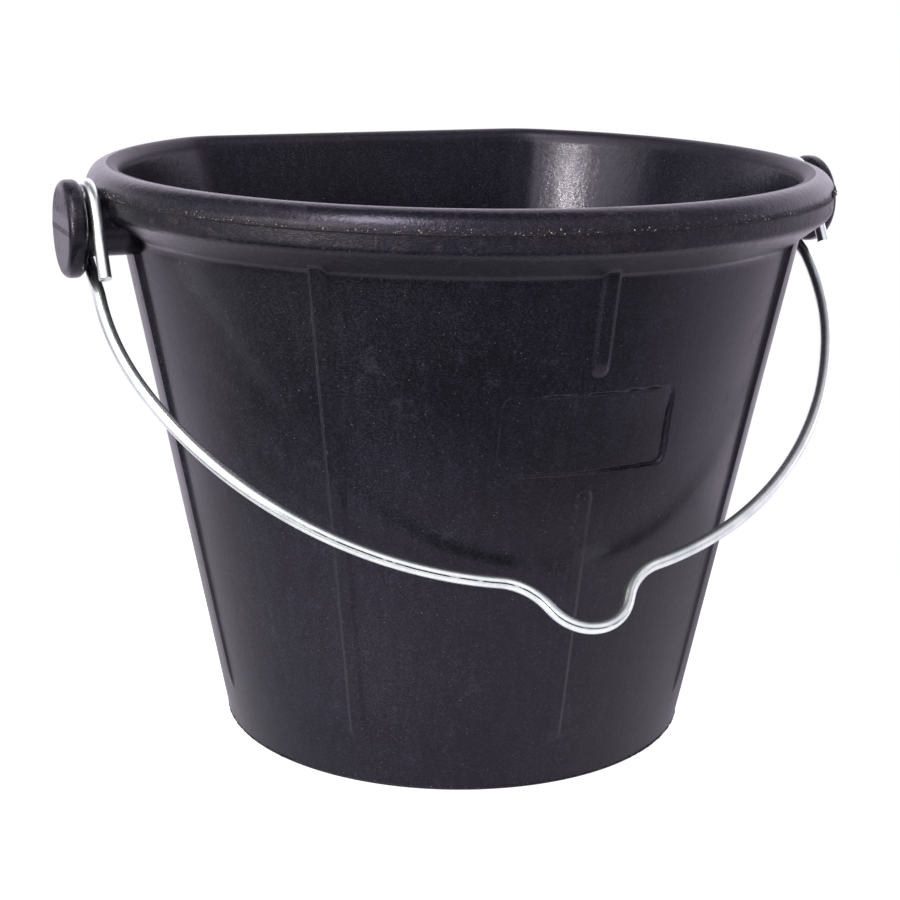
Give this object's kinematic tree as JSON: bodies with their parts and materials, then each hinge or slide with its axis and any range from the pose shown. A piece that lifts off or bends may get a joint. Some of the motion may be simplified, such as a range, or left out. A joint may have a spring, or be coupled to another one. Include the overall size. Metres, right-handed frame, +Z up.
{
  "type": "flat-back bucket",
  "caption": "Tapered black rubber bucket with a round front, a flat back, a rolled rim, wall ribs and side lugs that carry a swinging wire bail with a centre notch.",
  "frame": {"origin": "on the ground under the base, on the axis of the round front", "axes": "+Z up, +Y towards the flat back, +X towards one lug; the round front faces -Y"},
  "size_m": [0.4126, 0.3465, 0.2915],
  "materials": {
    "rubber": "satin moulded black rubber",
    "zinc_wire": "bright zinc plate on drawn wire"
  },
  "bodies": {
    "bucket": {"bucket": "rubber"},
    "bail": {"bail": "zinc_wire"}
  },
  "joints": [
    {"name": "bail_swing", "type": "hinge", "parent": "bucket", "child": "bail", "pos_m": [0, -0.00984, 0.2665], "axis": [-1, 0, 0], "range_deg": [-3, 270]}
  ]
}
